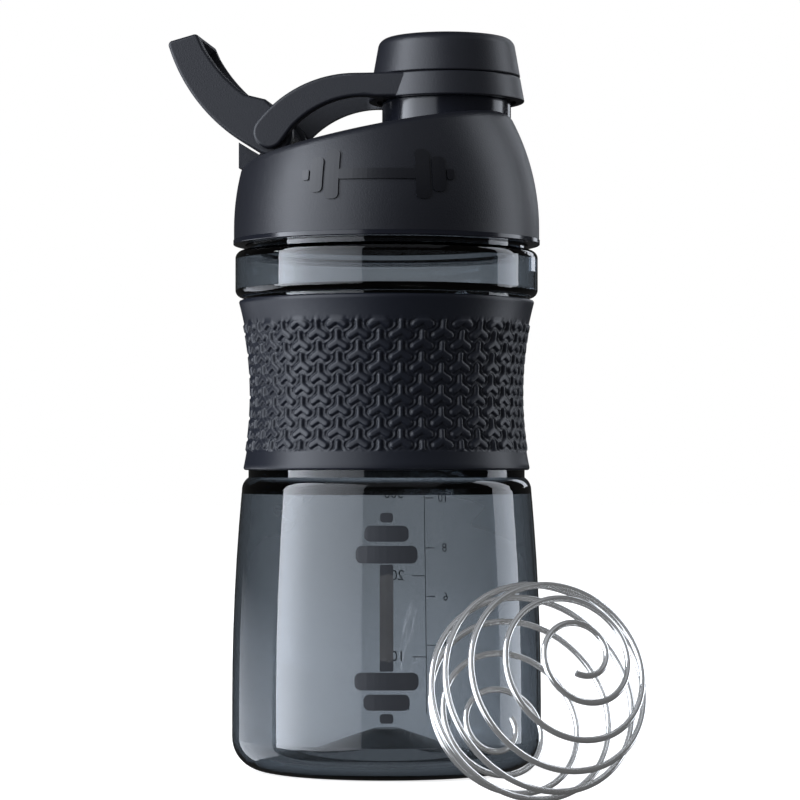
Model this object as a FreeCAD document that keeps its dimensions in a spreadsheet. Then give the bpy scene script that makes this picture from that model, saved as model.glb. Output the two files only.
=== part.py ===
import FreeCAD, Part
import math
import os

import Sketcher

# A protein shaker bottle standing on its base, with its loose wire whisk ball beside it.
# Frame: +Z up, origin at the centre of the base on the floor. The spout is towards +X, the carry
# loop and its hinge towards -X, and the front of the bottle faces -Y. Lengths are in millimetres,
# angles in degrees.
SIZES = {
    # bottle body, from the floor up
    "body_radius": 40.2,
    "body_wall": 2.4,
    "floor_thickness": 2.6,
    "base_corner": 8.5,
    "foot_width": 3.7,
    "punt_radius": 22.0,
    "punt_height": 7.5,
    "punt_tip_radius": 3.5,
    "punt_edge": 1.2,
    "punt_floor": 3.1,
    "straight_height": 18.0,
    "waist_height": 72.6,
    "waist_inset": 2.5,
    "waist_curve": 600.0,
    "shoulder_height": 3.2,
    "shoulder_round": 3.9,
    "groove_inset": 4.2,
    "groove_height": 1.9,
    # soft grip sleeve
    "sleeve_height": 44.2,
    "sleeve_low_inset": 2.9,
    "sleeve_high_inset": 1.7,
    "sleeve_curve": 92.0,
    "sleeve_thickness": 2.0,
    "sleeve_edge": 0.6,
    # band above the sleeve, and the threaded neck
    "band_gap": 0.7,
    "band_height": 12.2,
    "band_inset": 0.75,
    "band_round": 2.0,
    "band_floor": 2.2,
    "flange_inset": 3.7,
    "flange_height": 2.2,
    "neck_inset": 5.2,
    "neck_wall": 2.2,
    "neck_height": 16.8,
    "neck_edge": 0.5,
    # the two-start thread between neck and lid
    "thread_lead": 10.0,
    "neck_thread_turns": 0.75,
    "lid_thread_turns": 0.5,
    "thread_start": 5.0,
    "ridge_depth": 1.35,
    "ridge_base": 2.2,
    "ridge_crest": 0.8,
    "ridge_root": 0.4,
    "thread_clearance": 0.55,
    # screw lid: a domed skin cut by a sloping deck
    "lid_gap": 1.5,
    "lid_inset": 0.2,
    "lid_lip": 1.25,
    "lid_lip_edge": 0.3,
    "dome_height": 4.3,
    "dome_draft": 0.15,
    "dome_curve": 60.9,
    "dome_reach": 41.7,
    "deck_height": 28.1,
    "deck_slope": 0.2,
    "rim_round": 2.75,
    "cover_thickness": 1.4,
    "deck_wall": 1.7,
    "land_width": 3.6,
    "land_play": 0.6,
    "land_thickness": 2.0,
    "gasket_thickness": 1.45,
    "gasket_play": 0.3,
    "gasket_width": 3.2,
    "gasket_gap": 0.1,
    "fit_gap": 0.05,
    # offset drinking spout
    "spout_offset": 15.75,
    "collar_seat_radius": 16.8,
    "collar_seat_height": 37.6,
    "seat_gap": 0.4,
    "spout_root_radius": 13.0,
    "spout_step": 4.1,
    "spout_height": 13.0,
    "spout_tip_radius": 11.6,
    "spout_bore": 10.2,
    "spout_well_radius": 14.9,
    "spout_well_depth": 2.0,
    "lock_lug_radius": 14.2,
    "lock_lug_half_angle": 25.0,
    "lock_lug_thickness": 1.8,
    "lock_lug_rise": 3.7,
    # twist cap, its liner and its seal
    "cap_radius": 19.2,
    "cap_draft": 1.3,
    "cap_height": 10.6,
    "cap_corner": 2.5,
    "cap_top_inset": 4.0,
    "cap_crown": 0.4,
    "cap_skirt_radius": 17.9,
    "cap_groove": 0.55,
    "cap_gap": 0.2,
    "liner_radius": 16.6,
    "liner_wall": 1.05,
    "liner_floor": 0.95,
    "liner_lug_radius": 13.5,
    "liner_lug_half_angle": 22.0,
    "liner_lug_thickness": 2.1,
    "liner_lug_gap": 0.3,
    "seal_radius": 12.9,
    "seal_thickness": 0.95,
    "seal_gap": 0.2,
    # tether that carries the cap
    "collar_height": 6.2,
    "collar_low_radius": 20.3,
    "collar_high_radius": 19.3,
    "collar_bore": 18.2,
    "collar_bead": 0.6,
    "collar_bead_rise": 2.5,
    "collar_bead_width": 1.6,
    "tether_inner_half": 13.8,
    "tether_outer_half": 17.0,
    "tether_end_radius": 4.15,
    "tether_corner": 6.0,
    # hinge: one pin through the lid's lug, the carry loop and the tether
    "pivot_offset": 28.5,
    "pivot_height": 28.4,
    "lug_half": 9.8,
    "lug_boss": 4.6,
    "lug_rear": 9.0,
    "pin_radius": 1.6,
    "pin_half_length": 15.8,
    "pin_clearance": 0.05,
    # carry loop
    "loop_inner_half": 10.3,
    "loop_outer_half": 13.5,
    "loop_hub": 5.6,
    "loop_fork_gap": 0.3,
    "loop_web": 14.5,
    "loop_window": 31.0,
    "loop_edge": 0.8,
    # wire whisk ball
    "ball_radius": 26.0,
    "wire_radius": 0.75,
    "ball_gap": 22.1,
    "ball_bearing": -59.4,
    "ball_turns": 8.4,
    "ball_ease": 0.8,
    "ball_end_angle": 12.9,
    "ball_tip_angle": -105.0,
}
BALL_AXIS = (0.481, -0.773, 0.414)
ARCS_PER_TURN = 8
TURN = 2.0 * math.pi

doc = FreeCAD.newDocument("shaker_bottle")
sheet = doc.addObject("Spreadsheet::Sheet", "Sizes")
for row, (alias, number) in enumerate(SIZES.items(), start=1):
    sheet.set(f"A{row}", alias)
    sheet.set(f"B{row}", str(number))
    sheet.setAlias(f"B{row}", alias)
doc.recompute()


class Size:
    """A number together with the spreadsheet expression that gives it."""

    def __init__(self, text, value):
        self.text = text
        self.value = value

    def __add__(self, other):
        other = as_size(other)
        return Size(f"({self.text} + {other.text})", self.value + other.value)

    def __radd__(self, other):
        return as_size(other) + self

    def __sub__(self, other):
        other = as_size(other)
        return Size(f"({self.text} - {other.text})", self.value - other.value)

    def __rsub__(self, other):
        return as_size(other) - self

    def __mul__(self, other):
        other = as_size(other)
        return Size(f"({self.text} * {other.text})", self.value * other.value)

    def __rmul__(self, other):
        return as_size(other) * self

    def __truediv__(self, other):
        other = as_size(other)
        return Size(f"({self.text} / {other.text})", self.value / other.value)

    def __neg__(self):
        return as_size(0.0) - self


class Dimensions:
    """The spreadsheet's cells by name, each as a Size."""

    def __getattr__(self, name):
        return Size(f"Sizes.{name}", float(getattr(sheet, name)))


def as_size(number):
    if isinstance(number, Size):
        return number
    return Size(f"({float(number)})", float(number))


def root(size):
    return Size(f"sqrt({size.text})", math.sqrt(size.value))


def cosine(angle):
    return Size(f"cos({angle.text})", math.cos(math.radians(angle.value)))


def sine(angle):
    return Size(f"sin({angle.text})", math.sin(math.radians(angle.value)))


# ---------------------------------------------------------------- sketches and features

def new_body(name, x=None):
    body = doc.addObject("PartDesign::Body", name)
    body.Label = name
    if x is not None:
        body.setExpression("Placement.Base.x", x.text)
    return body


def new_sketch(body, name, plane, offset=None):
    sketch = body.newObject("Sketcher::SketchObject", name)
    support = [part for part in body.Origin.OriginFeatures if part.Role == plane][0]
    sketch.AttachmentSupport = (support, [""])
    sketch.MapMode = "FlatFace"
    if offset is not None:
        sketch.setExpression("AttachmentOffset.Base.z", offset.text)
    return sketch


def fix_point(sketch, geometry, position, x, y):
    """Tie a point to the sketch's origin, or to an axis where its distance is nothing."""
    for kind, axis, distance in (("DistanceX", -2, as_size(x)), ("DistanceY", -1, as_size(y))):
        if distance.value == 0.0:
            sketch.addConstraint(Sketcher.Constraint("PointOnObject", geometry, position, axis))
            continue
        index = sketch.addConstraint(
            Sketcher.Constraint(kind, -1, 1, geometry, position, distance.value))
        sketch.setExpression(f"Constraints[{index}]", distance.text)


def arc_between(start, end, radius):
    """The short arc from start to end; a positive radius turns left, a negative one right."""
    chord = end - start
    height = math.sqrt(radius * radius - chord.Length * chord.Length / 4.0)
    left = FreeCAD.Vector(-chord.y, chord.x, 0.0).normalize()
    side = 1.0 if radius > 0.0 else -1.0
    centre = (start + end) * 0.5 + left * (height * side)
    first, last = (start, end) if radius > 0.0 else (end, start)
    angles = [math.atan2(point.y - centre.y, point.x - centre.x) for point in (first, last)]
    if angles[1] < angles[0]:
        angles[1] += TURN
    circle = Part.Circle(centre, FreeCAD.Vector(0, 0, 1), abs(radius))
    return Part.ArcOfCircle(circle, angles[0], angles[1])


def draw_outline(sketch, corners):
    """Close a loop through the corners, each (x, y) or (x, y, radius of the arc to the next)."""
    points = [FreeCAD.Vector(as_size(c[0]).value, as_size(c[1]).value, 0.0) for c in corners]
    first = sketch.GeometryCount
    ends = []
    for number, corner in enumerate(corners):
        start = points[number]
        end = points[(number + 1) % len(points)]
        if len(corner) == 2:
            sketch.addGeometry(Part.LineSegment(start, end))
            ends.append((1, 2))
            continue
        radius = as_size(corner[2])
        sketch.addGeometry(arc_between(start, end, radius.value))
        index = sketch.addConstraint(
            Sketcher.Constraint("Radius", first + number, abs(radius.value)))
        sketch.setExpression(f"Constraints[{index}]", f"abs({radius.text})")
        ends.append((1, 2) if radius.value > 0.0 else (2, 1))
    for number, corner in enumerate(corners):
        following = (number + 1) % len(corners)
        sketch.addConstraint(Sketcher.Constraint(
            "Coincident", first + number, ends[number][1], first + following, ends[following][0]))
        fix_point(sketch, first + number, ends[number][0], corner[0], corner[1])


def draw_circle(sketch, x, y, radius):
    centre = FreeCAD.Vector(as_size(x).value, as_size(y).value, 0.0)
    geometry = sketch.addGeometry(Part.Circle(centre, FreeCAD.Vector(0, 0, 1), radius.value))
    fix_point(sketch, geometry, 3, x, y)
    index = sketch.addConstraint(Sketcher.Constraint("Radius", geometry, radius.value))
    sketch.setExpression(f"Constraints[{index}]", radius.text)


def revolve(body, name, corners):
    """Turn a closed (radius, height) outline once about the body's upright axis."""
    sketch = new_sketch(body, name + "_profile", "XZ_Plane")
    draw_outline(sketch, corners)
    feature = body.newObject("PartDesign::Revolution", name)
    feature.Profile = sketch
    feature.ReferenceAxis = (sketch, ["V_Axis"])
    feature.Angle = 360.0
    return feature


def extrude(body, name, sketch, length, cut=False, both_ways=True):
    kind = "PartDesign::Pocket" if cut else "PartDesign::Pad"
    feature = body.newObject(kind, name)
    feature.Profile = sketch
    feature.SideType = "Symmetric" if both_ways else "One side"
    feature.setExpression("Length", length.text)
    return feature


def thread_ridges(body, name, root_radius, crest_radius, height, turns):
    """Two trapezoid ridges half a turn apart, climbing right-handed by the thread's lead."""
    sketch = new_sketch(body, name + "_profile", "XZ_Plane")
    base = dim.ridge_base / 2.0
    crest = dim.ridge_crest / 2.0
    draw_outline(sketch, [
        (root_radius, height - base),
        (crest_radius, height - crest),
        (crest_radius, height + crest),
        (root_radius, height + base),
    ])
    ridge = body.newObject("PartDesign::AdditiveHelix", name)
    ridge.Profile = sketch
    ridge.ReferenceAxis = (sketch, ["V_Axis"])
    ridge.Mode = "pitch-turns-angle"
    ridge.setExpression("Pitch", dim.thread_lead.text)
    ridge.setExpression("Turns", turns.text)
    pattern = body.newObject("PartDesign::PolarPattern", name + "_starts")
    pattern.Originals = [ridge]
    pattern.Axis = (sketch, ["V_Axis"])
    pattern.Angle = 360.0
    pattern.Occurrences = 2
    body.Tip = pattern
    return pattern


def fillet_edges(body, name, base, radius, wanted):
    """Round the edges of base for which wanted(edge) is true."""
    doc.recompute()
    names = [f"Edge{number}" for number, edge in enumerate(base.Shape.Edges, start=1)
             if wanted(edge)]
    if not names:
        raise RuntimeError(f"{name} finds no edge to round")
    feature = body.newObject("PartDesign::Fillet", name)
    feature.Base = (base, names)
    feature.setExpression("Radius", radius.text)
    return feature


def cylinder(name, radius, low, high, x=None):
    tool = doc.addObject("Part::Cylinder", name)
    tool.setExpression("Radius", radius.text)
    tool.setExpression("Height", (high - low).text)
    tool.setExpression("Placement.Base.z", low.text)
    if x is not None:
        tool.setExpression("Placement.Base.x", x.text)
    return tool


def cross_cylinder(name, radius, half_length):
    """A cylinder along Y through the hinge pivot."""
    tool = doc.addObject("Part::Cylinder", name)
    tool.setExpression("Radius", radius.text)
    tool.setExpression("Height", (half_length * 2.0).text)
    tool.Placement.Rotation = FreeCAD.Rotation(FreeCAD.Vector(1, 0, 0), -90)
    tool.setExpression("Placement.Base.x", pivot_x.text)
    tool.setExpression("Placement.Base.y", (-half_length).text)
    tool.setExpression("Placement.Base.z", pivot_z.text)
    return tool


def fuse(name, *shapes):
    result = doc.addObject("Part::MultiFuse", name)
    result.Shapes = list(shapes)
    return result


def cut(name, base, *tools):
    result = doc.addObject("Part::Cut", name)
    result.Base = base
    result.Tool = tools[0] if len(tools) == 1 else fuse(name + "_tools", *tools)
    return result


# ---------------------------------------------------------------- derived places

dim = Dimensions()

groove_low = dim.waist_height + dim.shoulder_height
sleeve_low = groove_low + dim.groove_height
sleeve_high = sleeve_low + dim.sleeve_height
band_low = sleeve_high + dim.band_gap
band_high = band_low + dim.band_height
neck_high = band_high + dim.neck_height
neck_radius = dim.body_radius - dim.neck_inset
neck_bore = neck_radius - dim.neck_wall

lid_low = band_high + dim.lid_gap
lid_radius = dim.body_radius - dim.lid_inset
core_radius = neck_radius + dim.ridge_depth + dim.thread_clearance
land_low = neck_high + dim.gasket_gap + dim.gasket_thickness + dim.fit_gap
skirt_high = (band_high + dim.thread_start + dim.thread_lead * dim.neck_thread_turns
              + dim.ridge_base / 2.0 + dim.seat_gap)
land_wall = neck_radius + dim.land_play
land_radius = land_wall - dim.land_width
cover_low = lid_low + dim.lid_lip + dim.fit_gap
core_inset = dim.cover_thickness + dim.fit_gap
void_inset = core_inset + dim.deck_wall

collar_seat_high = lid_low + dim.collar_seat_height
collar_low = collar_seat_high - dim.seat_gap
collar_high = collar_low + dim.collar_height
spout_high = collar_seat_high + dim.spout_height
lock_lug_low = collar_seat_high + dim.lock_lug_rise
seal_low = spout_high + dim.seal_gap
liner_floor_low = seal_low + dim.seal_thickness + dim.fit_gap
liner_high = liner_floor_low + dim.liner_floor
cap_low = collar_high + dim.cap_gap
cap_skirt_low = collar_seat_high + dim.seat_gap
cap_high = cap_low + dim.cap_height

pivot_x = -dim.pivot_offset
pivot_z = lid_low + dim.pivot_height


# ---------------------------------------------------------------- bottle

def bottle_body():
    """Moulded clear bottle: raised base, waisted grip seat, band and threaded neck."""
    body = new_body("bottle_body")
    wall = dim.body_wall
    outer = dim.body_radius
    foot_outer = outer - dim.base_corner
    foot_inner = foot_outer - dim.foot_width
    shoulder = outer - dim.waist_inset
    groove = outer - dim.groove_inset
    seat_low = outer - dim.sleeve_low_inset - dim.sleeve_thickness
    seat_high = outer - dim.sleeve_high_inset - dim.sleeve_thickness
    seat_curve = dim.sleeve_curve + dim.sleeve_thickness
    band = outer - dim.band_inset
    flange = outer - dim.flange_inset
    edge = dim.neck_edge
    step = wall / 2.0
    revolve(body, "bottle_wall", [
        (0, dim.punt_height),
        (dim.punt_tip_radius, dim.punt_height),
        (dim.punt_radius, dim.punt_edge),
        (foot_inner, 0),
        (foot_outer, 0, dim.base_corner),
        (outer, dim.base_corner),
        (outer, dim.straight_height, dim.waist_curve),
        (shoulder, dim.waist_height, dim.shoulder_round),
        (groove, groove_low),
        (groove, sleeve_low),
        (seat_low, sleeve_low, -seat_curve),
        (seat_high, sleeve_high),
        (seat_high, band_low),
        (band - dim.band_round, band_low, dim.band_round),
        (band, band_low + dim.band_round),
        (band, band_high - dim.band_round, dim.band_round),
        (band - dim.band_round, band_high),
        (flange, band_high),
        (flange, band_high + dim.flange_height),
        (neck_radius, band_high + dim.flange_height + (flange - neck_radius)),
        (neck_radius, neck_high - edge),
        (neck_radius - edge, neck_high),
        (neck_bore + edge, neck_high),
        (neck_bore, neck_high - edge),
        (neck_bore, band_high - step),
        (band - wall, band_high - dim.band_floor),
        (band - wall, band_low + dim.band_floor),
        (seat_high - wall, band_low + step, seat_curve + wall),
        (seat_low - wall, groove_low - step),
        (shoulder - wall, dim.waist_height - step, -(dim.waist_curve - wall)),
        (outer - wall, dim.straight_height),
        (outer - wall, dim.base_corner, -(dim.base_corner - wall)),
        (foot_outer, dim.floor_thickness),
        (foot_inner, dim.floor_thickness),
        (dim.punt_radius, dim.punt_edge + dim.punt_floor),
        (dim.punt_tip_radius, dim.punt_height + dim.punt_floor),
        (0, dim.punt_height + dim.punt_floor),
    ])
    thread_ridges(body, "neck_ridge", neck_radius - dim.ridge_root,
                  neck_radius + dim.ridge_depth, band_high + dim.thread_start,
                  dim.neck_thread_turns)
    return body


def grip_sleeve():
    """Soft sleeve moulded round the waist, its surface standing in the seat."""
    body = new_body("grip_sleeve")
    gap = dim.fit_gap
    low = dim.body_radius - dim.sleeve_low_inset
    high = dim.body_radius - dim.sleeve_high_inset
    inner = dim.sleeve_thickness - gap
    edge = dim.sleeve_edge
    revolve(body, "sleeve_wall", [
        (low - inner, sleeve_low),
        (low - edge, sleeve_low, edge),
        (low, sleeve_low + edge, -dim.sleeve_curve),
        (high, sleeve_high - edge, edge),
        (high - edge, sleeve_high),
        (high - inner, sleeve_high, dim.sleeve_curve + inner),
    ])
    return body


# ---------------------------------------------------------------- lid

def deck(x, inset):
    """Height of the sloping deck at x, drawn down square to itself by inset."""
    tilt = root(as_size(1.0) + dim.deck_slope * dim.deck_slope)
    return lid_low + dim.deck_height + dim.deck_slope * x - inset * tilt


def above_deck(body, name, inset, x=0.0):
    """Cut away all that stands above the deck; x is where the body itself stands."""
    reach = dim.body_radius * 1.5
    sketch = new_sketch(body, name + "_outline", "XZ_Plane")
    roof = deck(reach, inset) + reach
    draw_outline(sketch, [
        (-reach - x, deck(-reach, inset)),
        (reach - x, deck(reach, inset)),
        (reach - x, roof),
        (-reach - x, roof),
    ])
    return extrude(body, name, sketch, reach * 2.0, cut=True)


def on_deck(edge, inset):
    points = [edge.valueAt(p) for p in (edge.FirstParameter, edge.LastParameter)]
    points.append(edge.valueAt((edge.FirstParameter + edge.LastParameter) / 2.0))
    return all(abs(p.z - deck(p.x, inset).value) < 0.001 for p in points)


def dome(name, inset, low):
    """The solid inside the lid's skin, drawn in by inset, from the height low up to the deck."""
    body = new_body(name)
    spring = lid_low + dim.dome_height
    curve = dim.dome_curve - inset
    centre = lid_radius - dim.dome_draft - dim.dome_curve
    reach = dim.dome_reach - dim.dome_height
    top_radius = centre + root(curve * curve - reach * reach)
    corners = [
        (0, low),
        (lid_radius - dim.dome_draft - inset, low),
        (lid_radius - dim.dome_draft - inset, spring, curve),
        (top_radius, spring + reach),
        (0, spring + reach),
    ]
    if low.value > spring.value:
        height = low - spring
        corners[1:3] = [(centre + root(curve * curve - height * height), low, curve)]
    revolve(body, name + "_dome", corners)
    trimmed = above_deck(body, name + "_deck", inset)
    rounding = dim.rim_round - inset
    if rounding.value > 0.2:
        fillet_edges(body, name + "_rim", trimmed, rounding, lambda edge: on_deck(edge, inset))
    return body


def lug_outline(gap):
    """Side outline of the hinge lug about the pivot, grown by gap."""
    boss = dim.lug_boss + gap
    rear = pivot_x - dim.lug_rear - gap
    foot = pivot_z - 8.6 - gap
    return [
        (rear, foot),
        (pivot_x + 5.5 + gap, foot),
        (pivot_x + boss, pivot_z, boss),
        (pivot_x, pivot_z + boss, boss),
        (pivot_x - boss, pivot_z, boss),
        (pivot_x - boss * 0.6, pivot_z - boss * 0.8),
        (pivot_x - 3.6, pivot_z - 5.1),
        (pivot_x - 7.7, pivot_z - 2.75),
        (rear, pivot_z - 1.85 + gap),
    ]


def lid_cover():
    """Matt outer skin of the lid, with openings for the spout and the hinge lug."""
    outer = dome("cover_skin", as_size(0.0), cover_low)
    inner = dome("cover_inside", dim.cover_thickness, lid_low - 1.0)
    hole = cylinder("cover_hole", dim.collar_seat_radius + dim.seat_gap, land_low,
                    spout_high, dim.spout_offset)
    notch = new_body("cover_notch")
    sketch = new_sketch(notch, "cover_notch_outline", "XZ_Plane")
    draw_outline(sketch, lug_outline(dim.fit_gap * 2.0))
    extrude(notch, "cover_notch_block", sketch, (dim.lug_half + dim.fit_gap * 2.0) * 2.0)
    return cut("lid_cover", outer, inner, hole, notch)


def spout():
    """Offset drinking spout with the collar's seat at its root and two locking lugs."""
    body = new_body("spout", dim.spout_offset)
    lip = (dim.spout_tip_radius - dim.spout_bore) / 2.0
    seat = dim.collar_seat_radius
    low = deck(-dim.collar_seat_radius, core_inset) - dim.deck_wall
    revolve(body, "spout_wall", [
        (dim.spout_bore, collar_seat_high),
        (dim.spout_well_radius, collar_seat_high - dim.spout_well_depth),
        (dim.spout_well_radius, low),
        (seat, low),
        (seat, collar_seat_high - dim.seat_gap),
        (seat - dim.seat_gap, collar_seat_high),
        (dim.spout_root_radius, collar_seat_high),
        (dim.spout_root_radius, collar_seat_high + dim.spout_step),
        (dim.spout_tip_radius, spout_high - lip, lip),
        (dim.spout_tip_radius - lip, spout_high, lip),
        (dim.spout_bore, spout_high - lip),
    ])
    sketch = new_sketch(body, "lock_lug_outline", "XY_Plane", lock_lug_low)
    inner = dim.spout_tip_radius
    outer = dim.lock_lug_radius
    draw_sector(sketch, inner, outer, as_size(0.0), dim.lock_lug_half_angle)
    lug = extrude(body, "lock_lug", sketch, dim.lock_lug_thickness, both_ways=False)
    opposite_pair(body, "lock_lugs", lug, sketch)
    below = new_sketch(body, "spout_trim_outline", "XZ_Plane")
    reach = dim.body_radius
    draw_outline(below, [
        (-reach, low - reach),
        (reach, low - reach),
        (reach, deck(reach + dim.spout_offset, void_inset)),
        (-reach, deck(dim.spout_offset - reach, void_inset)),
    ])
    extrude(body, "spout_trim", below, reach * 2.0, cut=True)
    return body


def draw_sector(sketch, inner, outer, middle, half_angle):
    """A piece of a ring centred on the direction middle."""
    start = middle - half_angle
    end = middle + half_angle
    draw_outline(sketch, [
        (outer * cosine(start), outer * sine(start), outer),
        (outer * cosine(end), outer * sine(end)),
        (inner * cosine(end), inner * sine(end), -inner),
        (inner * cosine(start), inner * sine(start)),
    ])


def opposite_pair(body, name, feature, sketch):
    pattern = body.newObject("PartDesign::PolarPattern", name)
    pattern.Originals = [feature]
    pattern.Axis = (sketch, ["N_Axis"])
    pattern.Angle = 360.0
    pattern.Occurrences = 2
    body.Tip = pattern
    return pattern


def skirt_thread():
    """Lower lip and inner face of the lid's skirt, with the ridges that run under the neck's."""
    body = new_body("skirt_thread")
    backing = core_radius + dim.ridge_root * 1.5
    edge = dim.lid_lip_edge
    revolve(body, "skirt_ring", [
        (core_radius, lid_low),
        (lid_radius - edge, lid_low, edge),
        (lid_radius, lid_low + edge),
        (lid_radius, lid_low + dim.lid_lip),
        (backing, lid_low + dim.lid_lip),
        (backing, skirt_high),
        (core_radius, skirt_high),
    ])
    thread_ridges(body, "lid_ridge", core_radius + dim.ridge_root, core_radius - dim.ridge_depth,
                  band_high + dim.thread_start + dim.thread_lead / 4.0, dim.lid_thread_turns)
    return body


def lid_core():
    """Structural lid: threaded skirt, sealing land, deck, spout and hinge lug in one moulding."""
    outer = dome("core_skin", core_inset, lid_low + dim.lid_lip / 2.0)
    inner = dome("core_void", void_inset, land_low + dim.land_thickness)
    mouth = cylinder("core_mouth", core_radius, lid_low - 1.0, skirt_high)
    throat = cylinder("core_throat", land_wall, skirt_high, land_low)
    land = cylinder("core_land", land_radius, land_low, land_low + dim.land_thickness)
    well = cylinder("spout_well", dim.spout_well_radius, land_low + dim.land_thickness,
                    collar_seat_high - dim.spout_well_depth, dim.spout_offset)
    shell = cut("core_shell", outer, inner, mouth, throat, land, well)
    lug = new_body("hinge_lug")
    sketch = new_sketch(lug, "hinge_lug_outline", "XZ_Plane")
    draw_outline(sketch, lug_outline(as_size(0.0)))
    extrude(lug, "hinge_lug_block", sketch, dim.lug_half * 2.0)
    whole = fuse("core_whole", shell, lug, spout(), skirt_thread())
    bore = cross_cylinder("lug_bore", dim.pin_radius, dim.tether_outer_half)
    return cut("lid_core", whole, bore)


def lid_gasket():
    """Flat ring pressed between the neck's rim and the lid's land."""
    body = new_body("lid_gasket")
    low = neck_high + dim.gasket_gap
    high = low + dim.gasket_thickness
    outer = neck_radius + dim.gasket_play
    inner = outer - dim.gasket_width
    edge = dim.gasket_gap * 3.0
    revolve(body, "gasket_ring", [
        (inner, low),
        (outer - edge, low, edge),
        (outer, low + edge),
        (outer, high - edge, edge),
        (outer - edge, high),
        (inner, high),
    ])
    return body


def hinge_pin():
    """Steel pin that carries the loop and the tether."""
    pin = cross_cylinder("hinge_pin", dim.pin_radius, dim.pin_half_length)
    return pin


# ---------------------------------------------------------------- carry loop and tether

def carry_loop():
    """Fold-over carry loop: two arms from the pin, a web, a window and a crossbar."""
    body = new_body("carry_loop")
    hub = dim.loop_hub

    def place(across, up, *radius):
        return (pivot_x + across, pivot_z + up, *radius)

    sketch = new_sketch(body, "loop_outline", "XZ_Plane")
    draw_outline(sketch, [
        (pivot_x + hub, pivot_z, -hub),
        (pivot_x, pivot_z - hub, -hub),
        (pivot_x - hub * 0.491, pivot_z - hub * 0.871),
        place(-7.5, -2.2, -45.9),
        place(-26.9, 22.9, -1.2),
        place(-26.3, 24.4),
        place(-20.5, 26.0, -1.2),
        place(-19.0, 25.4),
        place(-17.9, 22.9, 39.5),
        place(-6.7, 10.2),
        place(-1.5, 8.9),
        (pivot_x + hub * 0.6704, pivot_z + hub * 0.742, -hub),
    ])
    block = extrude(body, "loop_block", sketch, dim.loop_outer_half * 2.0)
    half = dim.loop_outer_half.value
    rounded = fillet_edges(body, "loop_edges", block, dim.loop_edge,
                           lambda edge: all(abs(abs(v.Y) - half) < 0.001 for v in edge.Vertexes)
                           and edge.Vertexes[0].Y * edge.Vertexes[-1].Y > 0.0)
    window = new_sketch(body, "loop_window_outline", "XZ_Plane")
    draw_circle(window, pivot_x, pivot_z, dim.loop_web)
    draw_circle(window, pivot_x, pivot_z, dim.loop_window)
    extrude(body, "loop_window", window, dim.loop_inner_half * 2.0, cut=True)
    fork = new_sketch(body, "loop_fork_outline", "XZ_Plane")
    draw_circle(fork, pivot_x, pivot_z, hub + dim.loop_fork_gap)
    extrude(body, "loop_fork", fork, dim.loop_inner_half * 2.0, cut=True)
    eye = new_sketch(body, "loop_eye_outline", "XZ_Plane")
    draw_circle(eye, pivot_x, pivot_z, dim.pin_radius + dim.pin_clearance)
    extrude(body, "loop_eye", eye, dim.tether_outer_half * 2.0, cut=True)
    return body


def tether_arms():
    """The two curved arms from the hinge to the collar."""
    body = new_body("tether_arms")
    end = dim.tether_end_radius
    sketch = new_sketch(body, "tether_outline", "XZ_Plane")
    draw_outline(sketch, [
        (pivot_x - end * 0.8, pivot_z + end * 0.6, -31.9),
        (pivot_x + 22.0, collar_high),
        (dim.spout_offset, collar_high),
        (dim.spout_offset, collar_low),
        (pivot_x + 27.9, collar_low, 25.2),
        (pivot_x + 5.9, pivot_z + 1.0),
        (pivot_x + end * 0.8, pivot_z - end * 0.6, -end),
        (pivot_x - end * 0.6, pivot_z - end * 0.8, -end),
    ])
    block = extrude(body, "tether_block", sketch, dim.tether_outer_half * 2.0)
    half = dim.tether_outer_half.value
    fillet_edges(body, "tether_edges", block, dim.loop_edge,
                 lambda edge: all(abs(abs(v.Y) - half) < 0.001 for v in edge.Vertexes)
                 and edge.Vertexes[0].Y * edge.Vertexes[-1].Y > 0.0)
    gap = new_sketch(body, "tether_gap_outline", "XY_Plane", pivot_z)
    inner = dim.tether_inner_half
    corner = dim.tether_corner
    stop = dim.spout_offset - dim.collar_bore + 1.5
    far = -dim.body_radius
    draw_outline(gap, [
        (far, -inner),
        (stop - corner, -inner, corner),
        (stop, corner - inner),
        (stop, inner - corner, corner),
        (stop - corner, inner),
        (far, inner),
    ])
    extrude(body, "tether_gap", gap, dim.body_radius * 2.0, cut=True)
    return body


def collar():
    """Ring in which the cap turns, with an inner bead that holds it."""
    body = new_body("collar", dim.spout_offset)
    bead_low = collar_low + dim.collar_bead_rise
    bead_high = bead_low + dim.collar_bead_width
    bead = dim.collar_bore - dim.collar_bead
    edge = dim.loop_edge / 2.0
    revolve(body, "collar_ring", [
        (dim.collar_bore, collar_low),
        (dim.collar_low_radius - edge, collar_low, edge),
        (dim.collar_low_radius, collar_low + edge),
        (dim.collar_high_radius, collar_high - edge, edge),
        (dim.collar_high_radius - edge, collar_high),
        (dim.collar_bore, collar_high),
        (dim.collar_bore, bead_high),
        (bead, bead_high - dim.collar_bead / 2.0),
        (bead, bead_low + dim.collar_bead / 2.0),
        (dim.collar_bore, bead_low),
    ])
    return body


def tether_frame():
    clear = cylinder("collar_clear", dim.collar_bore, collar_low - 1.0, collar_high + 1.0,
                     dim.spout_offset)
    arms = cut("tether_arms_trimmed", tether_arms(), clear)
    whole = fuse("tether_whole", arms, collar())
    eyes = cross_cylinder("tether_eyes", dim.pin_radius + dim.pin_clearance,
                          dim.pin_half_length + dim.pin_clearance * 2.0)
    return cut("tether_frame", whole, eyes)


# ---------------------------------------------------------------- cap

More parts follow.
